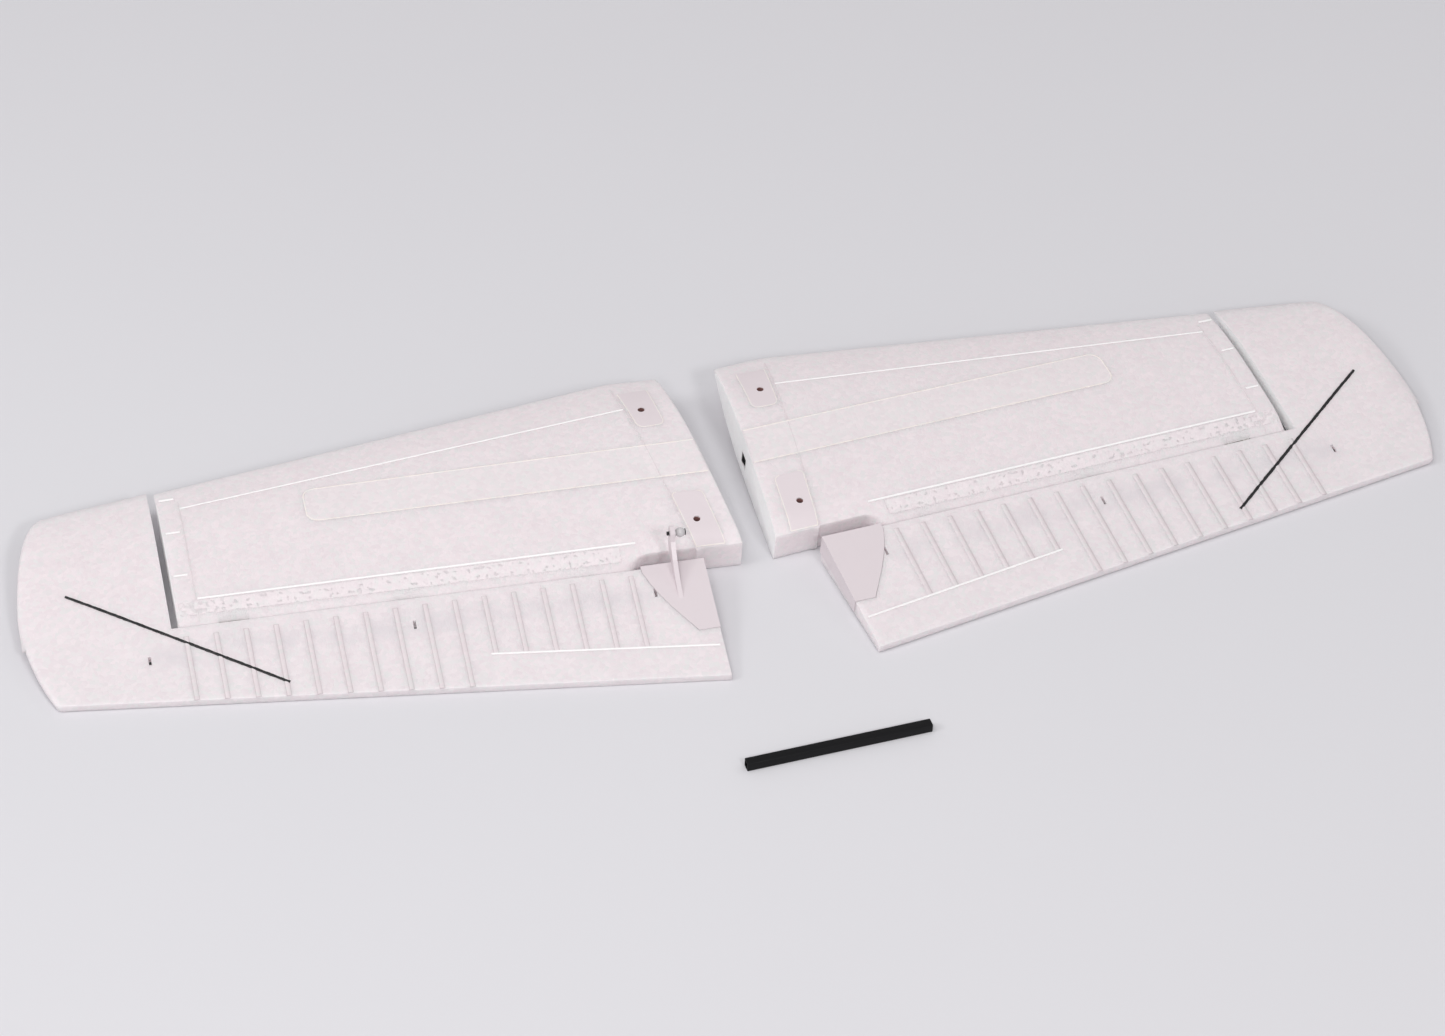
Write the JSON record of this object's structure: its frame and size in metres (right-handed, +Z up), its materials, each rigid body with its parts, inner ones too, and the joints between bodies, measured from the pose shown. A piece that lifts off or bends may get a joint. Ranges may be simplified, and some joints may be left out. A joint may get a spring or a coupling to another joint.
{
  "type": "model aeroplane tailplane set",
  "caption": "Two mirrored foam tailplane halves of a radio-controlled model aeroplane, each with a hinged elevator and tip horn balance, and a loose square joiner tube.",
  "frame": {"origin": "centre of the bounding box, at table height", "axes": "+X spanwise to the right half, +Y towards the leading edges, +Z up"},
  "size_m": [0.6344, 0.2336, 0.0311],
  "materials": {
    "foam": "white moulded bead foam, faintly pebbled",
    "strip_foam": "white foam strip, flush with the skin",
    "moulded_plastic": "smooth off-white moulded plastic",
    "hinge_nylon": "translucent white nylon",
    "steel": "bright turned steel",
    "carbon": "black carbon fibre, semi-matte"
  },
  "bodies": {
    "left_half": {"left_front_root_plate": "moulded_plastic", "left_hinge_1_pin": "steel", "left_hinge_1_stabiliser_leaf": "hinge_nylon", "left_hinge_2_pin": "steel", "left_hinge_2_stabiliser_leaf": "hinge_nylon", "left_hinge_3_pin": "steel", "left_hinge_3_stabiliser_leaf": "hinge_nylon", "left_joiner_sleeve": "carbon", "left_rear_root_plate": "moulded_plastic", "left_spar": "carbon", "left_spar_cover_strip": "strip_foam", "left_stabiliser_foam": "foam"},
    "left_elevator": {"left_ball_stud": "steel", "left_brace_strip": "carbon", "left_elevator_foam": "foam", "left_elevator_rod": "carbon", "left_elevator_root_cap": "moulded_plastic", "left_hinge_1_elevator_leaf": "hinge_nylon", "left_hinge_2_elevator_leaf": "hinge_nylon", "left_hinge_3_elevator_leaf": "hinge_nylon"},
    "right_half": {"right_front_root_plate": "moulded_plastic", "right_hinge_1_pin": "steel", "right_hinge_1_stabiliser_leaf": "hinge_nylon", "right_hinge_2_pin": "steel", "right_hinge_2_stabiliser_leaf": "hinge_nylon", "right_hinge_3_pin": "steel", "right_hinge_3_stabiliser_leaf": "hinge_nylon", "right_joiner_sleeve": "carbon", "right_rear_root_plate": "moulded_plastic", "right_spar": "carbon", "right_spar_cover_strip": "strip_foam", "right_stabiliser_foam": "foam"},
    "right_elevator": {"right_brace_strip": "carbon", "right_elevator_foam": "foam", "right_elevator_rod": "carbon", "right_elevator_root_cap": "moulded_plastic", "right_hinge_1_elevator_leaf": "hinge_nylon", "right_hinge_2_elevator_leaf": "hinge_nylon", "right_hinge_3_elevator_leaf": "hinge_nylon"},
    "joiner": {"joiner_tube": "carbon"}
  },
  "joints": [
    {"name": "left_elevator_hinge", "type": "hinge", "parent": "left_half", "child": "left_elevator", "pos_m": [-0.15381, 0.01142, 0.0064], "axis": [0.9954, -0.0957, 0.0079], "range_deg": [-25, 25]},
    {"name": "right_elevator_hinge", "type": "hinge", "parent": "right_half", "child": "right_elevator", "pos_m": [0.15381, 0.01142, 0.0064], "axis": [0.9954, 0.0957, -0.0079], "range_deg": [-25, 25]},
    {"name": "right_half_slide", "type": "slide", "parent": "left_half", "child": "right_half", "axis": [1, 0, 0], "range_m": [0, 0.06]},
    {"name": "joiner_slide", "type": "slide", "parent": "left_half", "child": "joiner", "axis": [0, -1, 0], "range_m": [0, 0.06]}
  ]
}
